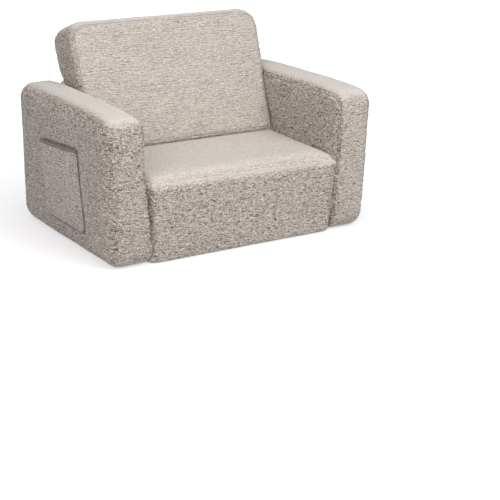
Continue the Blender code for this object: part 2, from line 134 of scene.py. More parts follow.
# The size of a curl along a cushion's own axes, and of the lumps that curls lie in. A row's pitch,
# bends and a crease's width are counted in curls and lumps.
ARM_CURL = (0.0095, 0.0041, 0.0080)
SEAT_CURL = (0.0092, 0.0068, 0.0040)
BACKREST_CURL = (0.0120, 0.0040, 0.0085)
WALL_CURL = (0.0076, 0.0042, 0.0050)
LUMP_SIZE = 1.6
LUMP_JITTER = 0.45
ROW_PITCH = 0.74
BEND_REACH = 4.1
BEND_SIZE = 3.4
CREASE_WIDTH = 0.55

# The cloth's slack, as the reach, depth and seed of its waves. Smooth cloth has the least share.
SLACK = ((0.075, 0.0014, 40), (0.03, 0.0005, 50))
SLACK_LEAST = 0.35
FLOOR_CLEARANCE = 0.0004

# A seam's groove and its line of painted shade, the second line of a lapped one, and the long
# tufts along an edge, with more nap and more painted shade. FAR stands for no seam near.
FAR = 1.0
SEAM_DEPTH = 0.0014
SEAM_WIDTH = 0.0024
SEAM_LAP = 0.009
TUFT_REACH = 0.011
TUFT_NAP_AND_SHADE = 0.28

# The recess over a zip: its rim, how deep it is looked for and how far behind the zip it goes.
ZIP_RIM = 0.002
ZIP_REACH = 0.006
ZIP_SINK = 0.001

# How the stuffed cushions swell out of their blocks, and where their cloth is drawn in.
ARM_TOP_SWELL = 0.006
ARM_WIDE_FROM = 0.22
ARM_WIDE_OVER = 0.09
ARM_FOOT_SWELL = 0.014
ARM_FOOT_DEPTH = 0.06
ARM_FOOT_HEIGHT = 0.26
ARM_SIDE_CROWN = 0.004
SEAT_TOP = 0.195
FRONT_SWELL = 0.0032
FRONT_REACH = 0.05
FRONT_CORNER_RADIUS = 0.026
CORNER_SWELL = 0.038
CORNER_REACH = 0.007
LEFT_TUCK = 0.012
TOP_EDGE_DROP = (0.009, 0.020)
BACKREST_SIDE_SWELL = 0.006
BACKREST_REAR_SWELL = 0.012
BACKREST_MIDDLE_LINE = 0.12

# How much thinner the wall's cushion is at its top. The CAD's own loss is greater, about 0.045.
WALL_TOP_LOSS = 0.030

# The space that a cushion's block leaves for its crown, its pile or its neighbour.
BASE_GAP = 0.001
WALL_GAP = 0.002
PANEL_CROWN_ROOM = 0.005
BACKREST_CROWN_ROOM = 0.003
BACKREST_FOOT_GAP = 0.010

# Turns, whose columns are where a block's own X, Y and Z axes go.
LYING = ((1, 0, 0), (0, 1, 0), (0, 0, 1))
UPRIGHT_ARM = ((0, 0, 1), (1, 0, 0), (0, 1, 0))
UPRIGHT_WALL = ((1, 0, 0), (0, 0, -1), (0, 1, 0))

# The photograph's camera, fitted to the closed sofa. Angles are in degrees.
CAMERA_TARGET = (0, -0.0385, 0.136)
CAMERA_ANGLES = (-31.72, 15.84, 0.82)
CAMERA_DISTANCE = 3.196
CAMERA_LENS = 94.56
CAMERA_SHIFT = (0.0995, -0.1561)

# Lamps as place, size, power and colour. WORLD_LIGHT is what the background gives.
LAMPS = {
    "front_lamp": ((0.55, -2.1, 1.85), 1.6, 31, (1.0, 1.0, 0.98)),
    "top_lamp": ((-0.25, -0.4, 1.8), 1.3, 4.0, (0.95, 0.985, 1.0)),
    "side_lamp": ((-2.2, -2.0, 1.7), 1.6, 34, (1.0, 0.94, 0.95)),
}
LAMP_AIM = (0, 0, 0.2)
WORLD_LIGHT = 0.42
FLOOR_HALF = 8
FLOOR_GREY = (0.68, 0.68, 0.68, 1)
WHITE = (1, 1, 1, 1)


def hashed(i, j, k, seed):
    """A repeatable random share for each point of a lattice."""
    h = i * 374761393 + j * 668265263 + k * 1442695041 + seed * 974634777
    h = (h ^ (h >> 13)) * 1274126177
    h = (h ^ (h >> 16)) & 0xFFFF
    return h / 0xFFFF * 2 - 1


def noise(points, seed):
    """Smooth gradient noise, about -0.6 to 0.6, with one lump for each unit."""
    base = np.floor(points).astype(np.int64)
    part = points - base
    fade = part**3 * (part * (part * 6 - 15) + 10)
    total = np.zeros(len(points))
    for i in (0, 1):
        for j in (0, 1):
            for k in (0, 1):
                corner = base + (i, j, k)
                way = part - (i, j, k)
                slope = sum(
                    hashed(*corner.T, seed + 17 * axis) * way[:, axis] for axis in range(3)
                )
                share = np.where((i, j, k), fade, 1 - fade).prod(axis=1)
                total += slope * share
    return total


def cells(points, seed):
    """The gap between each point's nearest and second nearest middle in a jittered lattice."""
    base = np.floor(points).astype(np.int64)
    part = points - base
    nearest = np.full(len(points), 9.0)
    second = nearest.copy()
    for step in product((-1, 0, 1), repeat=3):
        corner = (base + step).T
        away = np.zeros(len(points))
        for axis in range(3):
            middle = step[axis] + 0.5 + LUMP_JITTER * hashed(*corner, seed + 7 * axis)
            away += (part[:, axis] - middle) ** 2
        second = np.minimum(second, np.maximum(nearest, away))
        nearest = np.minimum(nearest, away)
    return np.sqrt(second) - np.sqrt(nearest)


def lumps(lie, seed):
    """The pile's height from 0 in its creases to 1 on its curls. lie counts curls."""
    bend = np.stack([noise(lie / BEND_REACH, seed + s) for s in (101, 202, 303)], axis=1)
    gap = cells((lie + bend * BEND_SIZE) / LUMP_SIZE, seed)
    return np.sin(np.clip(gap / CREASE_WIDTH, 0, 1) * math.pi / 2)


def pile(height, nap, rise=0.45, claim=1.0):
    """One look of the pile, from its height in metres and nap, 0 for smooth cloth. The nap also sets
    how much painted shade falls in its gaps, so more of it makes a face darker.

    rise is the share of its height that stands above the form, and a greater claim takes it
    further round a cushion's edges.
    """
    return SimpleNamespace(height=height, nap=nap, rise=rise, claim=claim)


# A style's nap also sets how much painted shade falls in its gaps, and so how dark its face looks:
# the tops' styles have the least, as light from above falls on them, and the sides' the most.
ROWS = pile(0.0007, 0.69)
WHORLS = pile(0.0020, 1.08)
TUFTS = pile(0.0025, 1.12, rise=0.15)
CURLS = pile(0.0020, 0.90)
FINE = pile(0.0012, 1.16)
POCKET_PILE = pile(0.0012, 0.94)
BRUSHED = pile(0.0007, 0.13)
SMOOTH = pile(0.0004, 0.12)
FUZZY = pile(0.0005, 0.36, claim=4.0)
HIDDEN = pile(0.0008, 0.50, rise=-0.2)


def leaned(points):
    """Takes points of an upright sofa to the one whose arms lean outwards."""
    to_front = (REAR - points[:, 1]) / ARM_DEPTH
    lean = ARM_LEAN_REAR + (ARM_LEAN_FRONT - ARM_LEAN_REAR) * to_front
    across = np.clip(points[:, 0] / (SEAT_WIDTH / 2), -1, 1)
    moved = points.copy()
    moved[:, 0] += across * lean * points[:, 2] / ARM_HEIGHT
    return moved


def quads_between(index):
    """The quads between the points of a grid, from the points' own numbers."""
    quads = np.stack([index[:-1, :-1], index[1:, :-1], index[1:, 1:], index[:-1, 1:]], axis=-1)
    return quads.reshape(-1, 4)


class Block:
    """A block with round edges, crowned faces and drawn-in sides, as arrays of points.

    radii are those of the edges at (-Y, -Z), (+Y, -Z), (-Y, +Z) and (+Y, +Z), corners those of the
    outline's corners at -Y and +Y, crowns one for each face from -X to +Z, draw how far the X
    sides are drawn in between their ends, and top_loss how much thinner it is at its +Y end.
    """

    def __init__(self, size, radii, corners, crowns=(0,) * 6, draw=0.0, top_loss=0.0):
        self.half = np.array(size) / 2
        self.radii = radii
        self.corners = np.array(corners)
        self.crowns = np.array(crowns).reshape(3, 2)
        self.draw = draw
        self.top_loss = top_loss

    def shares(self, points):
        """Where points are between the block's middle and its faces, from -1 to 1."""
        return np.clip(points / self.half, -1, 1)

    def radius_at(self, points):
        """The round edges' radius, which goes evenly from one edge to the next."""
        shares = self.shares(points)
        rear, top = (1 + shares[:, 1]) / 2, (1 + shares[:, 2]) / 2
        low = self.radii[0] * (1 - rear) + self.radii[1] * rear
        high = self.radii[2] * (1 - rear) + self.radii[3] * rear
        return low * (1 - top) + high * top

    def rounded(self, points):
        """Points of the sharp block on the round one. A corner is at least as round as its edge."""
        radius = self.radius_at(points)
        corner = np.maximum(self.corners[(points[:, 1] > 0).astype(int)], radius)
        limit = self.half[:2] - corner[:, None]
        core = np.clip(points[:, :2], -limit, limit)
        out = points[:, :2] - core
        reach = np.abs(out).max(axis=1)
        beside = reach - (corner - radius)
        above = np.abs(points[:, 2]) - (self.half[2] - radius)
        edge = (beside > 0) & (above > 0)
        pull = np.where(edge, radius / np.maximum(np.hypot(beside, above), 1e-9), 1)
        level = np.sign(points[:, 2]) * (self.half[2] - radius + above * pull)
        reach = np.where(edge, corner - radius + beside * pull, reach)
        length = np.linalg.norm(out, axis=1)
        plan = core + out * (reach / np.maximum(length, 1e-9))[:, None]
        return np.column_stack((plan, np.where(edge, level, points[:, 2])))

    def placed(self, points):
        """Points of the sharp block on the round, crowned and drawn-in one."""
        points = self.rounded(points)
        shares = self.shares(points)
        moved = points.copy()
        for axis in range(3):
            crown = self.crowns[axis][(shares[:, axis] > 0).astype(int)]
            others = [1 - shares[:, k] ** 4 for k in range(3) if k != axis]
            moved[:, axis] += shares[:, axis] * crown * others[0] * others[1]
        moved[:, 0] -= shares[:, 0] * self.draw * (1 - shares[:, 1] ** 2)
        if self.top_loss:
            rise = (1 + shares[:, 1]) / 2
            kept = 1 - self.top_loss * rise / (2 * self.half[2])
            moved[:, 2] = (moved[:, 2] + self.half[2]) * kept - self.half[2]
        return moved

    def grid(self, spacing):
        """Points all over the sharp block, its quads and their map."""
        lines = []
        for half, step in zip(self.half, spacing):
            lines.append(np.linspace(-half, half, max(2, round(2 * half / step)) + 1))
        points, quads, maps, start, row = [], [], [], 0, 0.0
        for axis in range(3):
            b, c = (axis + 1) % 3, (axis + 2) % 3
            for side in (-1, 1):
                u, v = np.meshgrid(lines[b], lines[c], indexing="ij")
                sheet = np.zeros((u.size, 3))
                sheet[:, axis] = side * self.half[axis]
                sheet[:, b], sheet[:, c] = u.ravel(), v.ravel()
                quad = quads_between(np.arange(u.size).reshape(u.shape) + start)
                quads.append(quad if side > 0 else quad[:, ::-1])
                chart_u = u.ravel() + self.half[b] + (side > 0) * 2.1 * self.half[b]
                maps.append(np.column_stack((chart_u, v.ravel() + self.half[c] + row)))
                points.append(sheet)
                start += u.size
            row += 2.1 * self.half[c]
        points, quads, maps = np.concatenate(points), np.concatenate(quads), np.concatenate(maps)
        corner_maps = maps[quads.ravel()] / maps.max()
        micrometres = np.round(points * 1e6).astype(np.int64)
        _, first, same = np.unique(micrometres, axis=0, return_index=True, return_inverse=True)
        return points[first], same.ravel()[quads], corner_maps


def mesh_object(name, points, quads, corner_maps=None):
    mesh = bpy.data.meshes.new(name)
    mesh.from_pydata(points.tolist(), [], quads.tolist())
    if corner_maps is not None:
        layer = mesh.uv_layers.new(name="OFBake")
        layer.data.foreach_set("uv", corner_maps.astype(np.float32).ravel())
    mesh.shade_smooth()
    made = bpy.data.objects.new(name, mesh)
    bpy.context.scene.collection.objects.link(made)
    return made


def normals_of(thing):
    found = np.zeros(len(thing.data.vertices) * 3, np.float32)
    thing.data.vertex_normals.foreach_get("vector", found)
    return found.reshape(-1, 3).astype(float)


def set_points(thing, points):
    thing.data.vertices.foreach_set("co", points.astype(np.float32).ravel())
    thing.data.update()


def set_values(thing, name, values):
    """Keeps a number or a vector for each point of a mesh, for its material."""
    values = np.asarray(values, np.float32)
    kind, key = ("FLOAT", "value") if values.ndim == 1 else ("FLOAT_VECTOR", "vector")
    layer = thing.data.attributes.new(name, kind, "POINT")
    layer.data.foreach_set(key, values.ravel())


def seam_distance(block, points, axis, side):
    """How far each point of the sharp block is inside the rim of a face, below zero beyond it."""
    inside = np.full(len(points), np.inf)
    for k in range(3):
        if k != axis:
            inside = np.minimum(inside, block.half[k] - np.abs(points[:, k]))
    beyond = block.half[axis] - side * points[:, axis]
    return np.where(beyond < 1e-6, inside, -beyond)


def nearest_seam(distances, count):
    """The distance to the nearest seam, with its sign."""
    nearest = np.full(count, FAR)
    for distance in distances:
        nearest = np.where(np.abs(distance) < np.abs(nearest), distance, nearest)
    return nearest


def press_pile(
    thing, points, lie, up, weights, styles, seed,
    seam=None, lapped=False, still=0.0, sewn=None, tufted=0.0,
):
    """Moves the mesh's points along its normals into curls.

    weights give each style's share, lie counts curls along the cloth, and up is its axis that
    rows of curls lie across. seam and sewn are the distances to a seam and to a sewn edge, still
    is where nothing moves, and tufted is where the pile is longer.
    """
    set_points(thing, points)
    ways = normals_of(thing)
    level = lumps(lie, seed)
    weights = np.array(weights)
    height, nap, rise = (
        weights.T @ [getattr(style, key) for style in styles] for key in ("height", "nap", "rise")
    )
    height = height * (1 + tufted)
    nap = nap * (1 + TUFT_NAP_AND_SHADE * tufted)
    offset = height * (level - 1 + rise)
    soft = sum(noise(points / reach, seed + own) * depth for reach, depth, own in SLACK)
    offset += soft * (SLACK_LEAST + (1 - SLACK_LEAST) * nap)
    seam = np.full(len(points), FAR) if seam is None else seam
    for line, depth in ((0.0, SEAM_DEPTH), (SEAM_LAP, SEAM_DEPTH * lapped)):
        offset -= depth * np.exp(-(((seam - line) / SEAM_WIDTH) ** 2))
    sewn = np.full(len(points), FAR) if sewn is None else sewn
    offset -= SEAM_DEPTH * np.exp(-((sewn / SEAM_WIDTH) ** 2))
    moved = points + ways * (offset * (1 - still))[:, None]
    moved[:, 2] = np.maximum(moved[:, 2], np.minimum(points[:, 2], FLOOR_CLEARANCE))
    set_points(thing, moved)
    set_values(thing, "pile", level)
    set_values(thing, "nap", nap)
    set_values(thing, "seam", seam)
    set_values(thing, "sewn", sewn)
    set_values(thing, "lie", lie)
    set_values(thing, "row", lie[:, up] * ROW_PITCH)


def recessed(points, turn, zip_name):
    """Points with those over a zip pushed in behind it, and where they are, as shares."""
    zip_points = np.array([v.co for v in frame["nodes"][zip_name].data.vertices]) @ turn
    low, high = zip_points.min(axis=0), zip_points.max(axis=0)
    own = points @ turn
    through = int(np.argmin(high - low))
    side = 1 if (low + high)[through] / 2 > own[:, through].mean() else -1
    beyond = np.maximum(low - own, own - high)
    beyond[:, through] = -1
    under = np.clip(1 - beyond.max(axis=1) / ZIP_RIM, 0, 1)
    surface = high[through] if side > 0 else -low[through]
    near = side * own[:, through] > surface - ZIP_REACH
    under = np.where(near, under, 0)
    floor = (low[through] if side > 0 else -high[through]) - ZIP_SINK
    push = np.maximum(side * own[:, through] - floor, 0) * under * side
    own[:, through] -= push
    return own @ turn.T, under


def add_cushion(
    name, block, turn, place, curl, styles, seed,
    seams=(), lapped=False, shape=None, zips=(), outline=None, tufted=(), up=1, spacing=(GRID,) * 3,
):
    """A cushion in its place.

    turn's columns are where the block's own axes go, and up is the one of them that rows of curls
    lie across. styles are the pile's looks on the faces from -X to +Z. seams and tufted are
    (axis, side) of the faces with a seam or long tufts round them. shape moves the placed points,
    outline gives their distance to a piece sewn on, and zips are the nodes that lie in recesses.
    """
    turn = np.array(turn, float)
    sharp, quads, corner_maps = block.grid(spacing)
    points = block.placed(sharp) @ turn.T + np.array(place)
    still = np.zeros(len(points))
    for zip_name in zips:
        points, under = recessed(points, turn, zip_name)
        still = np.maximum(still, under)
    if shape:
        points = shape(points)
    lie = points @ turn / np.array(curl)
    points = leaned(points)
    thing = mesh_object(name, points, quads, corner_maps)
    ways = normals_of(thing) @ turn
    weights = []
    for axis in range(3):
        for side in (-1, 1):
            claim = styles[len(weights)].claim
            weights.append(claim * np.maximum(ways[:, axis] * side, 0) ** 4)
    weights = np.array(weights) / np.sum(weights, axis=0)
    distances = [seam_distance(block, sharp, axis, side) for axis, side in seams]
    seam = nearest_seam(distances, len(points))
    sewn = outline(points) if outline else None
    tufts = np.zeros(len(points))
    for axis, side in tufted:
        rim = seam_distance(block, sharp, axis, side)
        tufts = np.maximum(tufts, np.exp(-((rim / TUFT_REACH) ** 2)) * (1 - weights[3]))
    press_pile(
        thing, points, lie, up, weights, styles, seed, seam, lapped, still, sewn=sewn, tufted=tufts
    )
    set_values(thing, "lap", np.full(len(points), float(lapped)))
    return thing


def node(tree, kind, links=None, **values):
    """A node with some of its properties and sockets set. links are {socket: what feeds it}."""
    made = tree.nodes.new(kind)
    for key, value in values.items():
        if hasattr(made, key):
            setattr(made, key, value)
        else:
            made.inputs[key.replace("_", " ")].default_value = value
    for key, source in (links or {}).items():
        tree.links.new(source, made.inputs[key])
    return made


def new_material(name, roughness, metallic=0.0):
    material = bpy.data.materials.new(name)
    material.use_nodes = True
    tree = material.node_tree
    shader = tree.nodes["Principled BSDF"]
    shader.inputs["Roughness"].default_value = roughness
    shader.inputs["Metallic"].default_value = metallic
    return material, tree, shader


def feed(tree, socket, value):
    """Links a socket to another one, or sets it to a plain value."""
    if isinstance(value, bpy.types.NodeSocket):
        tree.links.new(value, socket)
    else:
        socket.default_value = value


def mixed(tree, kind, share, one, other):
    """A mix of two colours, each a socket or a plain value."""
    made = tree.nodes.new("ShaderNodeMix")
    made.data_type = "RGBA"
    made.blend_type = kind
    for place, value in ((0, share), (6, one), (7, other)):
        feed(tree, made.inputs[place], value)
    return made.outputs[2]


def ranged(tree, value, low, high, new_low, new_high):
    """A number taken from one range to another, and kept inside it."""
    made = node(tree, "ShaderNodeMapRange", {"Value": value})
    keys = ("From Min", "From Max", "To Min", "To Max")
    for key, number in zip(keys, (low, high, new_low, new_high)):
        made.inputs[key].default_value = number
    return made.outputs["Result"]


def reckoned(tree, kind, one, other=0.0):
    """A sum or another operation of two numbers, each a socket or a plain value."""
    made = tree.nodes.new("ShaderNodeMath")
    made.operation = kind
    for socket, value in zip(made.inputs, (one, other)):
        feed(tree, socket, value)
    return made.outputs[0]


def multiplied(tree, one, other):
    return reckoned(tree, "MULTIPLY", one, other)


def chance(tree, way, scale, detail=1.0, **more):
    """Smooth chance from 0 to 1, with about scale waves for each unit of a way."""
    made = node(tree, "ShaderNodeTexNoise", {"Vector": way}, Scale=scale, Detail=detail, **more)
    return made.outputs["Fac"]


def uneven(tree, way, scale, least):
    """Slow chance along the cloth, from least to 1, that makes the painted shade uneven."""
    return ranged(tree, chance(tree, way, scale), 0.35, 0.65, least, 1.0)


def attribute(tree, name, output="Fac"):
    return node(tree, "ShaderNodeAttribute", attribute_name=name).outputs[output]


def seam_lines(tree, lie):
    """How dark the painted shade along seam grooves and sewn edges is, from each point's distance to
    a seam and to a sewn edge.
    """
    seam = attribute(tree, "seam")
    first = ranged(tree, reckoned(tree, "ABSOLUTE", seam), 0.0004, 0.0024, 0.65, 0.0)
    off = reckoned(tree, "ABSOLUTE", reckoned(tree, "SUBTRACT", seam, SEAM_LAP))
    second = ranged(tree, off, 0.0004, 0.0024, 0.85, 0.0)
    second = multiplied(tree, second, attribute(tree, "lap"))
    lines = multiplied(tree, reckoned(tree, "MAXIMUM", first, second), uneven(tree, lie, 0.4, 0.45))
    sewn = reckoned(tree, "ABSOLUTE", attribute(tree, "sewn"))
    sewn = ranged(tree, sewn, 0.0010, 0.0038, 0.95, 0.0)
    return reckoned(tree, "MAXIMUM", lines, multiplied(tree, sewn, uneven(tree, lie, 0.15, 0.7)))


def row_lines(tree, lie, nap):
    """Thin broken lines of painted shade between wavy rows of curls, from 0 to 1. Smooth cloth has
    none.
    """
    sway = ranged(tree, chance(tree, lie, 0.34), 0.3, 0.7, -0.9, 0.9)
    sway = multiplied(tree, sway, ranged(tree, nap, 0.7, 1.0, 0.45, 1.0))
    place = reckoned(tree, "ADD", attribute(tree, "row"), sway)
    off = reckoned(tree, "SUBTRACT", reckoned(tree, "FRACT", place), 0.5)
    line = ranged(tree, reckoned(tree, "ABSOLUTE", off), 0.28, 0.38, 0.0, 1.0)
    broken = ranged(tree, chance(tree, lie, 1.1), 0.44, 0.54, 0.0, 1.0)
    broken = reckoned(tree, "MAXIMUM", broken, ranged(tree, nap, 0.7, 1.0, 0.4, 0.0))
    curly = ranged(tree, nap, 0.42, 0.60, 0.0, 1.0)
    return multiplied(tree, line, multiplied(tree, broken, curly))


def bent(tree, lie):
    """The cloth's own measure, warped so that its cells don't lie in rows."""
    warp = node(tree, "ShaderNodeTexNoise", {"Vector": lie}, Scale=0.5, Detail=1.0).outputs["Color"]
    warp = node(tree, "ShaderNodeVectorMath", {0: warp}, operation="SUBTRACT")
    warp.inputs[1].default_value = (0.5, 0.5, 0.5)
    warp = node(tree, "ShaderNodeVectorMath", {0: warp.outputs[0]}, operation="SCALE", Scale=3.2)
    both = {0: lie, 1: warp.outputs[0]}
    return node(tree, "ShaderNodeVectorMath", both, operation="ADD").outputs[0]


def shade_in_gaps(tree, lie, way, curl, loops, nap):
    """How much painted shade falls between the curls: in pits, thin creases, the mesh's hollows and
    rows.
    """
    rough = reckoned(tree, "ADD", curl, ranged(tree, loops, 0.25, 0.75, -0.28, 0.28))
    # Painted shade in the pits between curls, and along their thin creases below.
    pit_shade = ranged(tree, rough, 0.58, 0.84, 0.0, 0.42)
    edge = node(
        tree, "ShaderNodeTexVoronoi", {"Vector": way}, feature="DISTANCE_TO_EDGE", Scale=1.0
    ).outputs["Distance"]
    crease = multiplied(tree, ranged(tree, edge, 0.05, 0.13, 0.66, 0.0), uneven(tree, way, 0.6, 0.55))
    # Painted shade in the mesh's hollows, where the pile is low.
    hollow_shade = multiplied(tree, ranged(tree, attribute(tree, "pile"), 0.1, 0.7, 0.13, 0.0), nap)
    gap = reckoned(tree, "ADD", reckoned(tree, "MAXIMUM", pit_shade, crease), hollow_shade)
    gap = reckoned(tree, "MAXIMUM", gap, multiplied(tree, row_lines(tree, lie, nap), 0.95))
    return multiplied(tree, multiplied(tree, gap, uneven(tree, lie, 0.25, 0.88)), nap)


def pile_material(name, tip, shade_colour):
    """Curly pile cloth: curls with painted shade in the gaps between them, fine loops on them and
    soft blotches.
    """
    material, tree, shader = new_material(name, 0.95)
    lie = attribute(tree, "lie", "Vector")
    nap = attribute(tree, "nap")
    way = bent(tree, lie)
    curl = node(tree, "ShaderNodeTexVoronoi", {"Vector": way}, Scale=1.0).outputs["Distance"]
    loops = chance(tree, way, 2.6, 2.0, Distortion=0.8)
    # Painted shade: how much falls in the gaps and along the seams, and the yarn's colour darkened
    # by it.
    gap_shade = reckoned(tree, "MAXIMUM", shade_in_gaps(tree, lie, way, curl, loops, nap), seam_lines(tree, lie))
    colour = mixed(tree, "MIX", reckoned(tree, "MINIMUM", gap_shade, 0.95), tip, shade_colour)
    grain = ranged(tree, chance(tree, lie, 2.9, Roughness=0.6), 0.34, 0.66, -1.0, 0.8)
    grain = multiplied(tree, grain, ranged(tree, nap, 0.0, 1.0, 0.03, 0.44))
    blotch = ranged(tree, chance(tree, lie, 0.07, 2.0), 0.3, 0.7, 0.98, 1.02)
    colour = mixed(tree, "MULTIPLY", 1.0, colour, reckoned(tree, "ADD", blotch, grain))
    tree.links.new(colour, shader.inputs["Base Color"])
    rise = reckoned(tree, "SUBTRACT", multiplied(tree, loops, 0.6), curl)
    strength = ranged(tree, nap, 0.0, 1.0, 0.12, 0.9)
    bump = node(tree, "ShaderNodeBump", {"Height": rise, "Strength": strength}, Distance=0.0020)
    tree.links.new(bump.outputs["Normal"], shader.inputs["Normal"])
    shader.inputs["Sheen Weight"].default_value = 0.2
    shader.inputs["Sheen Roughness"].default_value = 0.5
    shader.inputs["Specular IOR Level"].default_value = 0.2
    return material


def plain_material(name, colour, roughness, scale, depth, metallic=0.0):
    """Cloth tape or metal with a fine even pattern."""
    material, tree, shader = new_material(name, roughness, metallic)
    place = tree.nodes.new("ShaderNodeTexCoord").outputs["Object"]
    grain = chance(tree, place, scale, 2.0)
    darker = tuple(c * 0.6 for c in colour[:3]) + (1,)
    tree.links.new(mixed(tree, "MIX", grain, darker, colour), shader.inputs["Base Color"])
    bump = node(tree, "ShaderNodeBump", {"Height": grain}, Distance=depth, Strength=0.6)
    tree.links.new(bump.outputs["Normal"], shader.inputs["Normal"])
    return material


sherpa = pile_material("sherpa_pile", CREAM_TIP, CREAM_SHADE)
tape = plain_material("woven_binding", (0.27, 0.25, 0.215, 1), 0.85, 900, 0.0004)
zip_cloth = plain_material("zip_tape", (0.36, 0.34, 0.31, 1), 0.8, 1200, 0.0003)
nickel = plain_material("nickel", (0.62, 0.61, 0.58, 1), 0.32, 700, 0.00005, metallic=1.0)


def finish_cushion(thing, body, replaced):
    thing.data.materials.append(sherpa)
    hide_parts(*replaced)
    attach(thing, body)


def pocket_rim(points):
    """How far points of the left arm's side are inside the pocket's sewn edge, below zero beyond."""
    share = np.clip((points[:, 2] - POCKET_BOTTOM) / POCKET_HEIGHT, 0, 1)
    y = points[:, 1] + POCKET_SKEW * (1 - share)
    half_height = (POCKET_HEIGHT - POCKET_TILT * np.clip(2 * y / POCKET_WIDTH, -1, 1)) / 2
    z = points[:, 2] - POCKET_BOTTOM - half_height
    out = np.column_stack((np.abs(y) - POCKET_WIDTH / 2, np.abs(z) - half_height))
    out += POCKET_CORNER_RADIUS
    round_part = np.linalg.norm(np.maximum(out, 0), axis=1)
    return POCKET_CORNER_RADIUS - round_part - np.minimum(out.max(axis=1), 0)


# The line just outside the pocket's rim, where the arm's cloth has a groove and a line of painted
# shade.
def on_left_side(points):
    outside = points[:, 0] < -(SEAT_WIDTH / 2 + ARM_THICKNESS * 0.8)
    return np.where(outside, pocket_rim(points) + 0.001, FAR)


def smooth_step(share):
    share = np.clip(share, 0, 1)
    return share * share * (3 - 2 * share)


def arm_swell(points):
    """Each arm is wider at its top, and the left one also at its front foot, towards the seat."""
    across = np.abs(points[:, 0]) - SEAT_WIDTH / 2
    inner = np.clip(1 - across / ARM_THICKNESS, 0, 1) ** 2
    high = smooth_step((points[:, 2] - ARM_WIDE_FROM) / ARM_WIDE_OVER)
    forward = np.clip(1 - (points[:, 1] - FRONT) / ARM_FOOT_DEPTH, 0, 1)
    low = np.clip(1 - points[:, 2] / ARM_FOOT_HEIGHT, 0, 1) * (points[:, 0] < 0) * forward
    moved = points.copy()
    moved[:, 0] -= np.sign(points[:, 0]) * inner * (ARM_TOP_SWELL * high + ARM_FOOT_SWELL * low)
    return moved


def add_arm(side, sign):
    """An arm. The block's own X, Y and Z stand along the sofa's Y, Z and X here."""
    size = (ARM_DEPTH, ARM_HEIGHT, ARM_THICKNESS)
    outward = (ARM_SIDE_CROWN, 0) if sign < 0 else (0, ARM_SIDE_CROWN)
    radii = (0.036, 0.031, 0.011, 0.026) if sign < 0 else (0.011, 0.026, 0.023, 0.027)
    crowns = (0.003, 0, 0, 0.011, *outward)
    block = Block(size, radii, corners=(0.042, 0.034), crowns=crowns)
    faces = (FINE, TUFTS) if sign < 0 else (TUFTS, FINE)
    styles = (WHORLS if sign < 0 else CURLS, FINE, HIDDEN, BRUSHED, *faces)
    place = (sign * (SEAT_WIDTH + ARM_THICKNESS) / 2, 0, ARM_HEIGHT / 2)
    arm = add_cushion(
        f"arm_{side}_cushion",
        block,
        UPRIGHT_ARM,
        place,
        ARM_CURL,
        styles,
        11 + sign,
        seams=[(2, -sign)],
        lapped=True,
        shape=arm_swell,
        zips=[f"arm_{side}_zip"],
        outline=on_left_side if sign < 0 else None,
        tufted=[(2, sign), (2, -sign)],
    )
    finish_cushion(arm, "frame", [f"arm_{side}_cover", f"arm_{side}_foam"])


def front_bulge(points):
    """The seat's front face is one gentle bulge over the base and the panel.

    Its right end swells out, into the right arm's rounded edge and past it, its left end is
    tucked in, and its top edge drops, more so at the right.
    """
    near = np.clip(1 - (points[:, 1] - SEAT_FRONT) / FRONT_REACH, 0, 1) ** 2
    across = 1 - np.clip(points[:, 0] / (SEAT_WIDTH / 2), -1, 1) ** 2
    up = 1 - np.clip(points[:, 2] / BASE_HEIGHT - 1, -1, 1) ** 2
    moved = points.copy()
    moved[:, 1] -= FRONT_SWELL * near * across * up
    beside = np.clip(points[:, 0] / (SEAT_WIDTH / 2), 0, 1) ** 10
    rise = 0.3 + 0.7 * np.clip(points[:, 2] / SEAT_TOP, 0, 1) ** 2
    corner = near**0.5 * beside * rise
    moved[:, 0] += CORNER_SWELL * corner
    moved[:, 1] -= CORNER_REACH * corner
    tuck = near**0.5 * np.clip(-points[:, 0] / (SEAT_WIDTH / 2), 0, 1) ** 10
    moved[:, 0] += LEFT_TUCK * tuck * np.clip((points[:, 2] - 0.03) / 0.05, 0.35, 1)
    drop = np.interp(points[:, 0] / (SEAT_WIDTH / 2), (-1, 1), TOP_EDGE_DROP)
    moved[:, 2] -= drop * near * np.clip(points[:, 2] / SEAT_TOP, 0, 1) ** 6
    return moved


def add_base():
    base_rear = REAR - WALL_FOOT_THICKNESS
    size = (SEAT_WIDTH - BASE_GAP, base_rear - SEAT_FRONT - BASE_GAP, BASE_HEIGHT)
    block = Block(size, (0.010, 0.010, 0.004, 0.006), corners=(FRONT_CORNER_RADIUS, 0.010))
    styles = (HIDDEN, HIDDEN, WHORLS, HIDDEN, HIDDEN, SMOOTH)
    place = (0, (SEAT_FRONT + base_rear) / 2, BASE_HEIGHT / 2)
    base = add_cushion(
        "seat_base_cushion",
        block,
        LYING,
        place,
        SEAT_CURL,
        styles,
        21,
        shape=front_bulge,
        zips=["seat_base_zip"],
        up=2,
        spacing=(GRID, 1.5 * GRID, GRID),
    )
    finish_cushion(base, "frame", ["seat_base_cover", "seat_base_foam"])


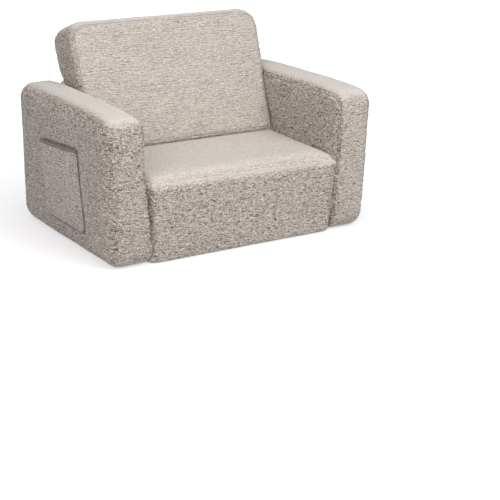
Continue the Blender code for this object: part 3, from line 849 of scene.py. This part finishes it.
def add_panel():
    low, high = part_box("seat_panel_cover")
    height = high.z - low.z - PANEL_CROWN_ROOM
    size = (SEAT_WIDTH - 2 * SEAT_SIDE_GAP, PANEL_REAR - SEAT_FRONT, height)
    block = Block(
        size,
        (0.004, 0.010, 0.033, 0.012),
        corners=(FRONT_CORNER_RADIUS, 0.012),
        crowns=(0.001, 0.001, 0, 0, 0, 0.006),
    )
    styles = (TUFTS, TUFTS, WHORLS, HIDDEN, SMOOTH, FUZZY)
    place = (0, (SEAT_FRONT + PANEL_REAR) / 2, low.z + height / 2)
    panel = add_cushion(
        "seat_panel_cushion",
        block,
        LYING,
        place,
        SEAT_CURL,
        styles,
        21,
        seams=[(2, -1)],
        lapped=True,
        shape=front_bulge,
        zips=["seat_panel_zip"],
        tufted=[(0, -1)],
        up=2,
    )
    finish_cushion(panel, "seat_panel", ["seat_panel_cover", "seat_panel_foam"])


def spread(points):
    """The backrest swells out over the arms, and back over the wall, above both."""
    moved = points.copy()
    above = smooth_step((points[:, 2] - ARM_HEIGHT + 0.018) / 0.06)
    aside = np.clip(np.abs(points[:, 0]) / (SEAT_WIDTH / 2), 0, 1) ** 3
    moved[:, 0] += np.sign(points[:, 0]) * BACKREST_SIDE_SWELL * above * aside
    above = smooth_step((points[:, 2] - ARM_HEIGHT + 0.06) / 0.15)
    behind = np.clip((points[:, 1] - BACKREST_MIDDLE_LINE) / 0.06, 0, 1)
    moved[:, 1] += BACKREST_REAR_SWELL * above * behind
    return moved


def add_backrest():
    low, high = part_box("seat_panel_cover")
    thickness = high.z - low.z - BACKREST_CROWN_ROOM
    foot = np.array((0, PANEL_REAR - BACKREST_FOOT_GAP, low.z + thickness))
    size = (SEAT_WIDTH - 2 * SEAT_SIDE_GAP, BACKREST_LENGTH, thickness)
    block = Block(
        size,
        (0.012, 0.014, 0.008, 0.022),
        corners=(0.022, 0.046),
        crowns=(0, 0, 0, -0.001, 0.003, 0.006),
        draw=0.001,
    )
    along = np.array((0, math.sin(BACKREST_TILT), math.cos(BACKREST_TILT)))
    out = np.array((0, -math.cos(BACKREST_TILT), math.sin(BACKREST_TILT)))
    turn = np.column_stack(((1, 0, 0), along, out))
    place = foot + along * BACKREST_LENGTH / 2 - out * thickness / 2
    styles = (TUFTS, TUFTS, HIDDEN, BRUSHED, SMOOTH, ROWS)
    backrest = add_cushion(
        "backrest_cushion",
        block,
        turn,
        place,
        BACKREST_CURL,
        styles,
        31,
        seams=[(2, 1), (2, -1)],
        lapped=True,
        shape=spread,
        tufted=[(1, -1)],
        zips=["backrest_zip"],
    )
    finish_cushion(backrest, "backrest", ["backrest_cover", "backrest_foam"])


def add_wall():
    size = (SEAT_WIDTH - WALL_GAP, WALL_HEIGHT, WALL_FOOT_THICKNESS)
    block = Block(size, (0.020,) * 4, corners=(0.022, 0.046), top_loss=WALL_TOP_LOSS)
    place = (0, REAR - WALL_FOOT_THICKNESS / 2, WALL_HEIGHT / 2)
    styles = (HIDDEN, HIDDEN, HIDDEN, SMOOTH, FINE, FINE)
    wall = add_cushion(
        "back_wall_cushion",
        block,
        UPRIGHT_WALL,
        place,
        WALL_CURL,
        styles,
        41,
        seams=[(2, -1)],
        zips=["back_wall_zip"],
    )
    finish_cushion(wall, "frame", ["back_wall_cover", "back_wall_foam"])


def shell(name, outer, inner):
    """A closed sheet of cloth between two grids of points, with a map of its outer side."""
    rows, columns = outer.shape[:2]
    index = np.arange(rows * columns).reshape(rows, columns)
    quad = quads_between(index)
    rim = list(index[0]) + list(index[1:, -1]) + list(index[-1, -2::-1]) + list(index[-2:0:-1, 0])
    back = rows * columns
    sides = [(a, a + back, b + back, b) for a, b in zip(rim, rim[1:] + rim[:1])]
    quads = np.concatenate((quad, quad[:, ::-1] + back, sides))
    u, v = np.meshgrid(np.linspace(0, 1, rows), np.linspace(0, 0.45, columns), indexing="ij")
    maps = np.column_stack((u.ravel(), v.ravel()))
    maps = np.concatenate((maps, maps + (0, 0.5)))
    points = np.concatenate((outer.reshape(-1, 3), inner.reshape(-1, 3)))
    return mesh_object(name, points, quads, maps[quads.ravel()]), points


def band_sheet(crease, x, share, out):
    """Points of the band's cloth, x across the seat and share up it from -1 to 1."""
    turn = np.maximum(np.abs(x) - (SEAT_WIDTH / 2 - FRONT_CORNER_RADIUS), 0)
    back = FRONT_CORNER_RADIUS - np.sqrt(FRONT_CORNER_RADIUS**2 - turn**2)
    y = SEAT_FRONT + back
    points = np.stack((x, y, crease + BAND_REACH * share), axis=-1).reshape(-1, 3)
    points = leaned(front_bulge(points))
    points[:, 1] -= out.ravel()
    return points.reshape(*x.shape, 3)


def add_front_band():
    """The cloth over the crease between the base and the seat panel, in front of both."""
    crease = (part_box("seat_base_cover")[1].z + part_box("seat_panel_cover")[0].z) / 2
    half_width = SEAT_WIDTH / 2 - BAND_END_GAP
    across = np.linspace(-half_width, half_width, round(2 * half_width / GRID))
    up = np.linspace(-1, 1, 2 * round(BAND_REACH / GRID))
    x, share = np.meshgrid(across, up, indexing="ij")
    end = np.clip((np.abs(x) / half_width - BAND_END_START) / 0.06, 0, 1)
    out = BAND_PROUD - (BAND_PROUD + BAND_SUNK) * np.maximum(share**4, end**2)
    sheets = [band_sheet(crease, x, share, out - depth) for depth in (0.0, BAND_THICKNESS)]
    band, points = shell("seat_front_band", *sheets)
    front = np.concatenate((np.ones(x.size), np.zeros(x.size)))
    press_pile(band, points, points / np.array(SEAT_CURL), 2, [front], [WHORLS], 21)
    band.data.materials.append(sherpa)
    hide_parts("seat_hinge_cloth")
    end = (0, SEAT_FRONT, crease + BAND_FOLD)
    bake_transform(band)


def ring_outline(half_width, low, high):
    """Points round an upright rectangle with round corners, from its lower left corner."""
    radius = SLEEVE_CORNER_RADIUS
    corners = ((-1, low, 180), (1, low, 270), (1, high, 0), (-1, high, 90))
    points = []
    for side, z, begin in corners:
        inward = radius if z == low else -radius
        for angle in np.radians(np.linspace(begin, begin + 90, SLEEVE_CORNER_STEPS)):
            x = side * (half_width - radius) + radius * math.cos(angle)
            points.append((x, z + inward + radius * math.sin(angle)))
    full = []
    for (x, z), (u, w) in zip(points, points[1:] + points[:1]):
        parts = max(1, round(math.hypot(u - x, w - z) / (1.5 * GRID)))
        full += [(x + (u - x) * i / parts, z + (w - z) * i / parts) for i in range(parts)]
    return np.array(full)


def turned(points, angles):
    """Points turned about X, each by its own angle."""
    cosine, sine = np.cos(angles), np.sin(angles)
    y, z = points[:, 1], points[:, 2]
    return np.column_stack((points[:, 0], y * cosine - z * sine, y * sine + z * cosine))


def sleeve_rings(outline, middle, gap, depth):
    """The sleeve's cloth as rings round the panel's outline, from front to back."""
    rings = []
    for station in np.linspace(-SLEEVE_OVERLAP, gap + SLEEVE_OVERLAP, SLEEVE_STATIONS):
        past = max(0.0, -station, station - gap) / SLEEVE_OVERLAP
        inset = depth + SLEEVE_SUNK * past**2 + SLEEVE_INSET
        way = middle - outline
        ring = outline + way / np.linalg.norm(way, axis=1)[:, None] * inset
        along = np.full(len(ring), PANEL_REAR + station)
        rings.append(np.column_stack((ring[:, 0], along, ring[:, 1])))
    return rings


def folded_up(straight, start, end, pivot, fold):
    """Straight cloth turned about the pivot, by more and more of the fold from start to end."""
    line = end - start
    folded = straight
    for _ in range(FOLDING_ROUNDS):
        weight = smooth_step((folded - start) @ line / (line @ line))
        folded = (folded + pivot + turned(straight - pivot, fold * weight)) / 2
    return folded


def add_sleeve():
    """The cloth between the seat panel's rear end and the backrest's foot. It is made straight, as
    it lies when the sofa is open, and folded up to where it rests."""
    joint = next(j for j in frame["joints"] if j["name"] == "backrest_fold")
    pivot = np.array(joint["pos_m"])
    fold = math.radians(-joint["range_deg"][0])
    low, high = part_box("seat_panel_cover")
    gap = 2 * (pivot[1] - PANEL_REAR) + SLEEVE_SLACK
    half_width = SEAT_WIDTH / 2 - SEAT_SIDE_GAP + SLEEVE_ROOM
    outline = ring_outline(half_width, low.z, high.z - PANEL_CROWN_ROOM)
    middle = np.array((0, (low.z + high.z) / 2))
    rings = sleeve_rings(outline, middle, gap, 0.0)
    rings += sleeve_rings(outline, middle, gap, SLEEVE_THICKNESS)[::-1]
    straight = np.concatenate(rings)
    start = np.array((0, PANEL_REAR, pivot[2]))
    foot = np.array((0, PANEL_REAR + gap, pivot[2])) - pivot
    end = pivot + turned(foot[None], np.array([fold]))[0]
    folded = leaned(folded_up(straight, start, end, pivot, fold))
    index = np.arange(len(straight)).reshape(len(rings), len(outline))
    after, beside = np.roll(index, -1, axis=0), np.roll(index, -1, axis=1)
    quads = np.stack([index, beside, np.roll(after, -1, axis=1), after], axis=-1).reshape(-1, 4)
    sleeve = mesh_object("fold_sleeve_cloth", folded, quads)
    sleeve.data.materials.append(sherpa)
    aside = np.clip(1 - (half_width - np.abs(straight[:, 0])) / SLEEVE_SIDE_PILE, 0, 1)
    outer = np.arange(len(straight)) < len(straight) / 2
    weights = [aside * outer, (1 - aside) * outer]
    press_pile(sleeve, folded, straight / np.array(SEAT_CURL), 2, weights, [CURLS, SMOOTH], 21)
    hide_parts("fold_sleeve")
    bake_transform(sleeve)


def pocket_points(u, v, depth):
    """Points of the pocket's cloth, u across it from -1 to 1 and v up it from 0 to 1."""
    past = np.clip(1 - (1 - np.abs(u)) * POCKET_WIDTH / 2 / POCKET_CORNER_RADIUS, 0, 1)
    lift = POCKET_CORNER_RADIUS * (1 - np.sqrt(1 - past**2))
    y = u * POCKET_WIDTH / 2 - POCKET_SKEW * (1 - v)
    z = POCKET_BOTTOM + lift * (1 - v) + (POCKET_HEIGHT - POCKET_TILT * u) * v
    out = POCKET_MOUTH_OPENING * v * v * (1 - u**4)
    out += POCKET_PUFF * np.sin(math.pi * v) * (1 - u * u) + depth
    crown = ARM_SIDE_CROWN * (1 - (2 * y / ARM_DEPTH) ** 2)
    crown = crown * (1 - (2 * z / ARM_HEIGHT - 1) ** 2)
    x = -(SEAT_WIDTH / 2 + ARM_THICKNESS) - crown - out
    return leaned(np.stack((x, y, z), axis=-1).reshape(-1, 3)).reshape(*x.shape, 3)


def add_pocket():
    """The pocket's cloth, sewn on at its sides and foot."""
    across = np.linspace(-1, 1, round(POCKET_WIDTH / GRID))
    up = np.linspace(0, POCKET_TOP, round(POCKET_HEIGHT * POCKET_TOP / GRID))
    u, v = np.meshgrid(across, up, indexing="ij")
    rim = np.minimum(1 - np.abs(u), v * POCKET_HEIGHT / POCKET_WIDTH * 2)
    full = np.sqrt(np.clip(rim / 0.05, 0, 1))
    thickness = POCKET_EDGE_THICKNESS + POCKET_MORE_THICKNESS * full
    sheets = (pocket_points(u, v, thickness), pocket_points(u, v, POCKET_BEHIND))
    panel, points = shell("pocket_cloth", *sheets)
    front = np.concatenate((np.ones(u.size), np.zeros(u.size)))
    # The distance to the pocket's sewn sides and foot, where its cloth has a groove and a line of
    # painted shade.
    edge = np.minimum((1 - np.abs(u)) * POCKET_WIDTH / 2, v * POCKET_HEIGHT * POCKET_FOOT_SHARE)
    sewn = np.concatenate((edge.ravel(), np.full(u.size, FAR)))
    lie = points @ np.array(UPRIGHT_ARM, float) / np.array(ARM_CURL)
    press_pile(panel, points, lie, 1, [front], [POCKET_PILE], 61, sewn=sewn)
    panel.data.materials.append(sherpa)
    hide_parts("pocket_panel")
    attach(panel, "frame")


def add_binding():
    """The tape along the pocket's mouth."""
    across = np.linspace(-1, 1, round(POCKET_WIDTH / GRID))
    u, v = np.meshgrid(across, np.linspace(POCKET_TOP, 1, BINDING_ROWS), indexing="ij")
    swell = BINDING_CROWN * np.sin(np.pi * (v - POCKET_TOP) / (1 - POCKET_TOP))
    swell = BINDING_THICKNESS + swell
    sheets = (pocket_points(u, v, swell), pocket_points(u, v, 0.0))
    binding = shell("pocket_mouth_binding", *sheets)[0]
    binding.data.materials.append(tape)
    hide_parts("pocket_binding")
    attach(binding, "frame")


def finish_zips():
    """The zips and their sliders are the frame's own nodes, with these materials."""
    for name, thing in frame["nodes"].items():
        if name.endswith("_zip") or name.endswith("_slider"):
            thing.data.materials.clear()
            thing.data.materials.append(nickel if name.endswith("_slider") else zip_cloth)


def add_camera():
    """The camera of the photograph's closed view, from its fitted direction and lens."""
    azimuth, elevation, roll = (math.radians(a) for a in CAMERA_ANGLES)
    away = Vector(
        (
            math.sin(azimuth) * math.cos(elevation),
            -math.cos(azimuth) * math.cos(elevation),
            math.sin(elevation),
        )
    )
    data = bpy.data.cameras.new("camera")
    data.sensor_width = 36
    data.lens = CAMERA_LENS
    data.shift_x, data.shift_y = CAMERA_SHIFT
    data.clip_end = 50
    camera = bpy.data.objects.new("camera", data)
    bpy.context.scene.collection.objects.link(camera)
    camera.location = Vector(CAMERA_TARGET) + away * CAMERA_DISTANCE
    turn = away.to_track_quat("Z", "Y").to_matrix() @ Matrix.Rotation(roll, 3, "Z")
    camera.rotation_euler = turn.to_euler()
    bpy.context.scene.camera = camera


def add_lamp(name, place, size, power, colour):
    data = bpy.data.lights.new(name, "AREA")
    data.shape = "DISK"
    data.size = size
    data.energy = power
    data.color = colour
    lamp = bpy.data.objects.new(name, data)
    bpy.context.scene.collection.objects.link(lamp)
    lamp.location = place
    lamp.rotation_euler = (Vector(place) - Vector(LAMP_AIM)).to_track_quat("Z", "Y").to_euler()


def seen_ray(tree):
    """1 for a ray that shows the background itself, to the camera or through gloss or glass."""
    path = tree.nodes.new("ShaderNodeLightPath").outputs
    seen = reckoned(tree, "MAXIMUM", path["Is Camera Ray"], path["Is Glossy Ray"])
    return reckoned(tree, "MAXIMUM", seen, path["Is Transmission Ray"])


def add_floor():
    """A floor that keeps the shadow and glows white further out, for rays that show it."""
    mesh = bpy.data.meshes.new("floor")
    corners = [(x * FLOOR_HALF, y * FLOOR_HALF, 0) for x, y in ((-1, -1), (1, -1), (1, 1), (-1, 1))]
    mesh.from_pydata(corners, [], [(0, 1, 2, 3)])
    floor = bpy.data.objects.new("floor", mesh)
    bpy.context.scene.collection.objects.link(floor)
    material = bpy.data.materials.new("floor")
    material.use_nodes = True
    tree = material.node_tree
    tree.nodes.clear()
    output = tree.nodes.new("ShaderNodeOutputMaterial")
    cloth = node(tree, "ShaderNodeBsdfDiffuse", Color=FLOOR_GREY)
    glow = node(tree, "ShaderNodeEmission", Color=WHITE)
    place = tree.nodes.new("ShaderNodeTexCoord").outputs["Object"]
    far = node(tree, "ShaderNodeVectorMath", {0: place}, operation="LENGTH").outputs["Value"]
    glowing = ranged(tree, far, 0.42, 1.3, 0.50, 0.93)
    tree.links.new(multiplied(tree, seen_ray(tree), glowing), glow.inputs["Strength"])
    both = tree.nodes.new("ShaderNodeAddShader")
    tree.links.new(cloth.outputs[0], both.inputs[0])
    tree.links.new(glow.outputs[0], both.inputs[1])
    tree.links.new(both.outputs[0], output.inputs["Surface"])
    floor.data.materials.append(material)


def add_world():
    """A white background that lights the sofa more softly than it shows."""
    world = bpy.data.worlds.new("world")
    world.use_nodes = True
    bpy.context.scene.world = world
    background = world.node_tree.nodes["Background"]
    strength = ranged(world.node_tree, seen_ray(world.node_tree), 0, 1, WORLD_LIGHT, 1.0)
    world.node_tree.links.new(strength, background.inputs["Strength"])
    background.inputs["Color"].default_value = WHITE


finish_zips()
add_arm("left", -1)
add_arm("right", 1)
add_base()
add_panel()
add_backrest()
add_wall()
add_front_band()
add_sleeve()
add_pocket()
add_binding()
add_camera()
add_floor()
add_world()
for lamp_name, lamp_values in LAMPS.items():
    add_lamp(lamp_name, *lamp_values)
bpy.context.scene.view_settings.view_transform = "Standard"
